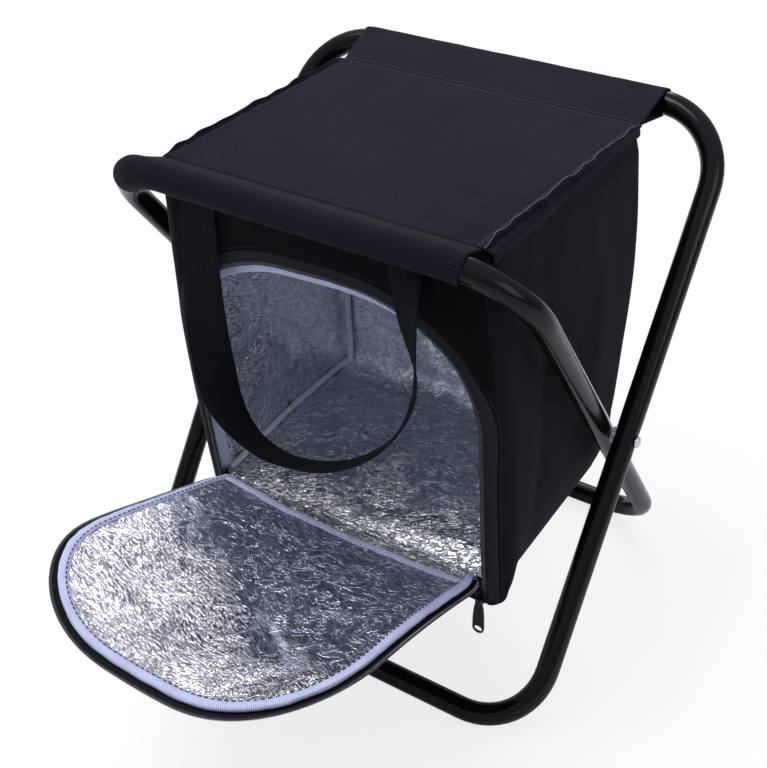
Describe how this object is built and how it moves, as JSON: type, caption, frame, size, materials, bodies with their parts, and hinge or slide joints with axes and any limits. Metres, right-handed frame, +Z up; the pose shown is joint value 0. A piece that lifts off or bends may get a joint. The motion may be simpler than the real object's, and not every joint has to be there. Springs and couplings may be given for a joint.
{
  "type": "folding cooler stool",
  "caption": "Folding stool of two crossed bent-tube loops with a cloth seat and an insulated bag hung below it, closed by an arched zip door, with a webbing carrying handle.",
  "frame": {"origin": "on the floor under the middle of the bounding box", "axes": "+X to the right seen from the door's side, +Y to the back, +Z up"},
  "size_m": [0.4216, 0.5384, 0.4463],
  "materials": {
    "enamelled_tube": "gloss black enamel",
    "steel_spigot": "bare rolled steel",
    "zinc_rivet": "zinc plated",
    "seat_cloth": "plain oxford weave, coated behind",
    "bag_cloth": "plain oxford weave",
    "foam": "closed-cell foam sheet",
    "foil_lining": "crinkled metallised film",
    "white_binding": "ribbed tape",
    "zip_tape": "herringbone zip tape",
    "zip_coil": "moulded coil",
    "zip_metal": "gloss black enamel on cast zinc",
    "webbing": "ribbed webbing"
  },
  "bodies": {
    "outer_frame": {"outer_frame_tube": "enamelled_tube", "outer_frame_spigot": "steel_spigot", "pivot_rivet_right": "zinc_rivet", "pivot_rivet_left": "zinc_rivet", "pivot_washer_right": "zinc_rivet", "pivot_washer_left": "zinc_rivet", "seat_panel": "seat_cloth", "bag_top_foam": "foam", "bag_top_foil": "foil_lining"},
    "inner_frame": {"inner_frame_tube": "enamelled_tube", "inner_frame_spigot": "steel_spigot", "seat_front_sleeve": "seat_cloth"},
    "rear_sleeve": {"seat_rear_sleeve": "seat_cloth"},
    "bag_front": {"bag_front_shell": "bag_cloth", "bag_front_foam": "foam", "bag_front_foil": "foil_lining", "opening_binding": "white_binding", "bag_zip_tape": "zip_tape", "bag_zip_coil": "zip_coil", "zip_end_tab": "zip_tape", "hinge_seam_band": "white_binding"},
    "bag_rear": {"bag_back_shell": "bag_cloth", "bag_back_foam": "foam", "bag_back_foil": "foil_lining", "bag_right_shell": "bag_cloth", "bag_right_foam": "foam", "bag_right_foil": "foil_lining", "bag_left_shell": "bag_cloth", "bag_left_foam": "foam", "bag_left_foil": "foil_lining", "bag_floor_shell": "bag_cloth", "bag_floor_foam": "foam", "bag_floor_foil": "foil_lining", "floor_seam_piping_left": "white_binding", "floor_seam_piping_right": "white_binding", "back_seam_piping_left": "white_binding", "back_seam_piping_right": "white_binding"},
    "door": {"door_foil": "foil_lining", "door_foam": "foam", "door_shell": "bag_cloth", "door_binding": "white_binding", "door_zip_coil": "zip_coil", "door_zip_tape": "zip_tape"},
    "zip_slider": {"zip_slider": "zip_metal"},
    "zip_pull": {"zip_pull": "zip_metal"},
    "handle": {"handle_webbing": "webbing"}
  },
  "joints": [
    {"name": "fold", "type": "hinge", "parent": "outer_frame", "child": "inner_frame", "pos_m": [0, 0.10204, 0.2196], "axis": [-1, 0, 0], "range_deg": [0, 60], "deforming": ["seat_panel", "bag_top_foam", "bag_top_foil", "bag_right_shell", "bag_right_foam", "bag_right_foil", "bag_left_shell", "bag_left_foam", "bag_left_foil", "bag_floor_shell", "bag_floor_foam", "bag_floor_foil", "floor_seam_piping_left", "floor_seam_piping_right", "back_seam_piping_left", "back_seam_piping_right", "hinge_seam_band"]},
    {"name": "rear_sleeve_turn", "type": "hinge", "parent": "outer_frame", "child": "rear_sleeve", "pos_m": [0, 0.25764, 0.43472], "axis": [1, 0, 0], "range_deg": [0, 50.01]},
    {"name": "front_panel_hang", "type": "hinge", "parent": "inner_frame", "child": "bag_front", "pos_m": [0, -0.03297, 0.43722], "axis": [-1, 0, 0], "range_deg": [-25.01, 0]},
    {"name": "rear_panel_hang", "type": "hinge", "parent": "inner_frame", "child": "bag_rear", "pos_m": [0, 0.15047, 0.14889], "axis": [-1, 0, 0], "range_deg": [-38.01, 0]},
    {"name": "door_hinge", "type": "hinge", "parent": "bag_front", "child": "door", "pos_m": [0, -0.0183, 0.131], "axis": [-1, 0, 0], "range_deg": [-32, 76.8], "deforming": ["handle_webbing"]},
    {"name": "zip_slide", "type": "slide", "parent": "bag_front", "child": "zip_slider", "axis": [0, -0.0728, 0.9973], "range_m": [0, 0.155], "deforming": ["door_zip_coil"]},
    {"name": "pull_swing", "type": "hinge", "parent": "zip_slider", "child": "zip_pull", "pos_m": [0.1395, -0.02773, 0.11969], "axis": [-1, 0, 0], "range_deg": [0, 115]},
    {"name": "handle_swing", "type": "hinge", "parent": "inner_frame", "child": "handle", "pos_m": [0, -0.04797, 0.42389], "axis": [-1, 0, 0], "range_deg": [0, 110]}
  ],
  "couplings": [
    {"joint": "rear_sleeve_turn", "follows": "fold", "ratio": 0.83333},
    {"joint": "front_panel_hang", "follows": "fold", "ratio": -0.41667},
    {"joint": "rear_panel_hang", "follows": "fold", "ratio": -0.63333}
  ]
}
